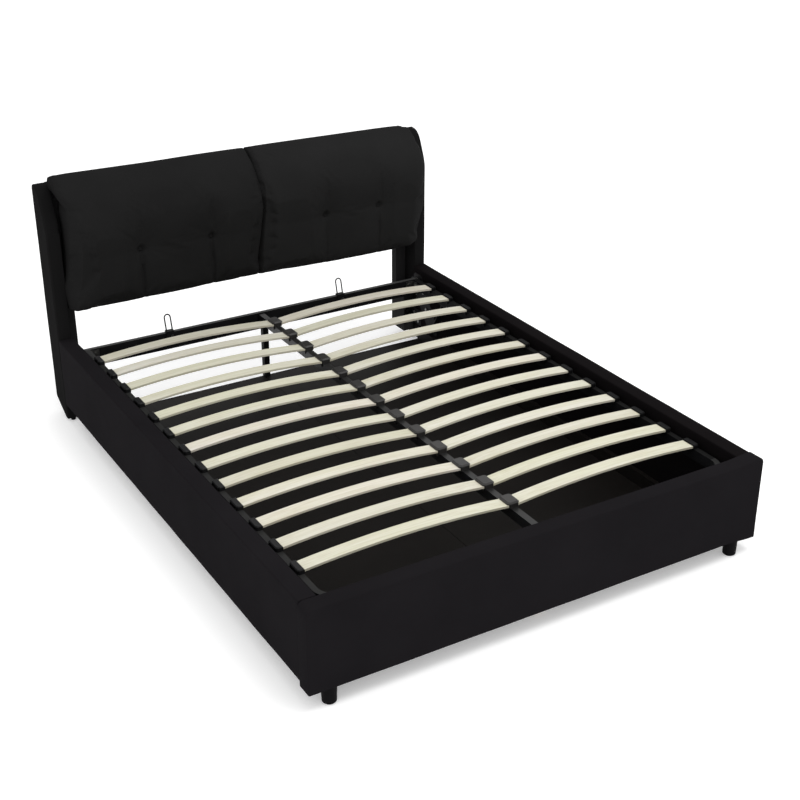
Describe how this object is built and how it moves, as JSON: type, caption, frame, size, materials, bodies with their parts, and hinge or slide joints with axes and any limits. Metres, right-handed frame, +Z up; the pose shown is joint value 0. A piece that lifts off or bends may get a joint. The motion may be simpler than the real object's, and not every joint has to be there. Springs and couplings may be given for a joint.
{
  "type": "upholstered storage bed",
  "caption": "Low double bed in padded black leatherette with tufted headboard cushions and a sprung slatted base that lifts on gas springs over a storage compartment.",
  "frame": {"origin": "middle of the bed's footprint, on the floor", "axes": "+X to the right seen from the foot end, +Y from the footboard to the headboard, +Z up"},
  "size_m": [1.728, 2.306, 1.0409],
  "materials": {
    "upholstery": "soft grained, low sheen",
    "cushion": "soft grained, low sheen",
    "board": "raw chipboard",
    "back_cloth": "black lining cloth on thin board",
    "plastic_foot": "matte",
    "floor_board": "black covered board",
    "batten": "planed pine",
    "zinc": "zinc plated",
    "black_steel": "black powder coat",
    "tube_steel": "grey powder coat",
    "chrome": "polished",
    "wire": "dark grey lacquer",
    "slat_wood": "pale bent birch ply, satin",
    "cap_plastic": "matte"
  },
  "bodies": {
    "bed_frame": {"base_rest_blocks": "plastic_foot", "centre_leg": "black_steel", "floor_batten_left": "floor_board", "floor_batten_right": "floor_board", "floor_centre_beam": "batten", "floor_cross_battens": "floor_board", "floor_feet": "plastic_foot", "foot_corner_brackets": "zinc", "footboard_board": "board", "footboard_cover": "upholstery", "front_leg_left": "plastic_foot", "front_leg_right": "plastic_foot", "head_glides": "plastic_foot", "head_joint_plates": "black_steel", "headboard_back_panel": "back_cloth", "headboard_cushion_left": "cushion", "headboard_cushion_right": "cushion", "headboard_lower_rail": "upholstery", "headboard_top_rail": "upholstery", "headboard_upright_left": "upholstery", "headboard_upright_right": "upholstery", "headboard_wing_left": "upholstery", "headboard_wing_right": "upholstery", "lift_plate_left": "black_steel", "lift_plate_right": "black_steel", "pivot_pin_left": "zinc", "pivot_pin_right": "zinc", "rail_bolts": "zinc", "rear_cross_beam": "black_steel", "side_rail_board_left": "board", "side_rail_board_right": "board", "side_rail_cover_left": "upholstery", "side_rail_cover_right": "upholstery", "spring_studs_lower": "zinc", "storage_floor_left": "floor_board", "storage_floor_right": "floor_board", "tuft_buttons": "cushion"},
    "slat_base": {"base_foot_tube": "tube_steel", "base_side_tube_left": "tube_steel", "base_side_tube_right": "tube_steel", "base_head_tube": "tube_steel", "base_centre_tube": "tube_steel", "hinge_arm_left": "black_steel", "hinge_arm_right": "black_steel", "spring_studs_upper": "zinc", "base_corner_angles": "zinc", "base_bolts": "zinc", "slats_left": "slat_wood", "slats_right": "slat_wood", "edge_caps_left": "cap_plastic", "edge_caps_right": "cap_plastic", "centre_caps": "cap_plastic", "mattress_stop_left": "wire", "mattress_stop_right": "wire", "stop_clamps": "black_steel", "stop_bolts": "zinc"},
    "left_spring_cylinder": {"gas_cylinder_left": "black_steel"},
    "left_spring_rod": {"gas_rod_left": "chrome"},
    "right_spring_cylinder": {"gas_cylinder_right": "black_steel"},
    "right_spring_rod": {"gas_rod_right": "chrome"}
  },
  "joints": [
    {"name": "base_lift", "type": "hinge", "parent": "bed_frame", "child": "slat_base", "pos_m": [0, 0.989, 0.309], "axis": [-1, 0, 0], "range_deg": [0, 40]},
    {"name": "left_cylinder_swing", "type": "hinge", "parent": "bed_frame", "child": "left_spring_cylinder", "pos_m": [-0.7915, 0.84561, 0.10421], "axis": [-1, 0, 0], "range_deg": [0, 20]},
    {"name": "left_rod_swing", "type": "hinge", "parent": "slat_base", "child": "left_spring_rod", "pos_m": [-0.7915, 0.73995, 0.28721], "axis": [-1, 0, 0], "range_deg": [-20, 0]},
    {"name": "right_cylinder_swing", "type": "hinge", "parent": "bed_frame", "child": "right_spring_cylinder", "pos_m": [0.7915, 0.84561, 0.10421], "axis": [-1, 0, 0], "range_deg": [0, 20]},
    {"name": "right_rod_swing", "type": "hinge", "parent": "slat_base", "child": "right_spring_rod", "pos_m": [0.7915, 0.73995, 0.28721], "axis": [-1, 0, 0], "range_deg": [-20, 0]}
  ],
  "couplings": [
    {"joint": "left_cylinder_swing", "follows": "base_lift", "ratio": 0.5},
    {"joint": "left_rod_swing", "follows": "base_lift", "ratio": -0.5},
    {"joint": "right_cylinder_swing", "follows": "base_lift", "ratio": 0.5},
    {"joint": "right_rod_swing", "follows": "base_lift", "ratio": -0.5}
  ]
}
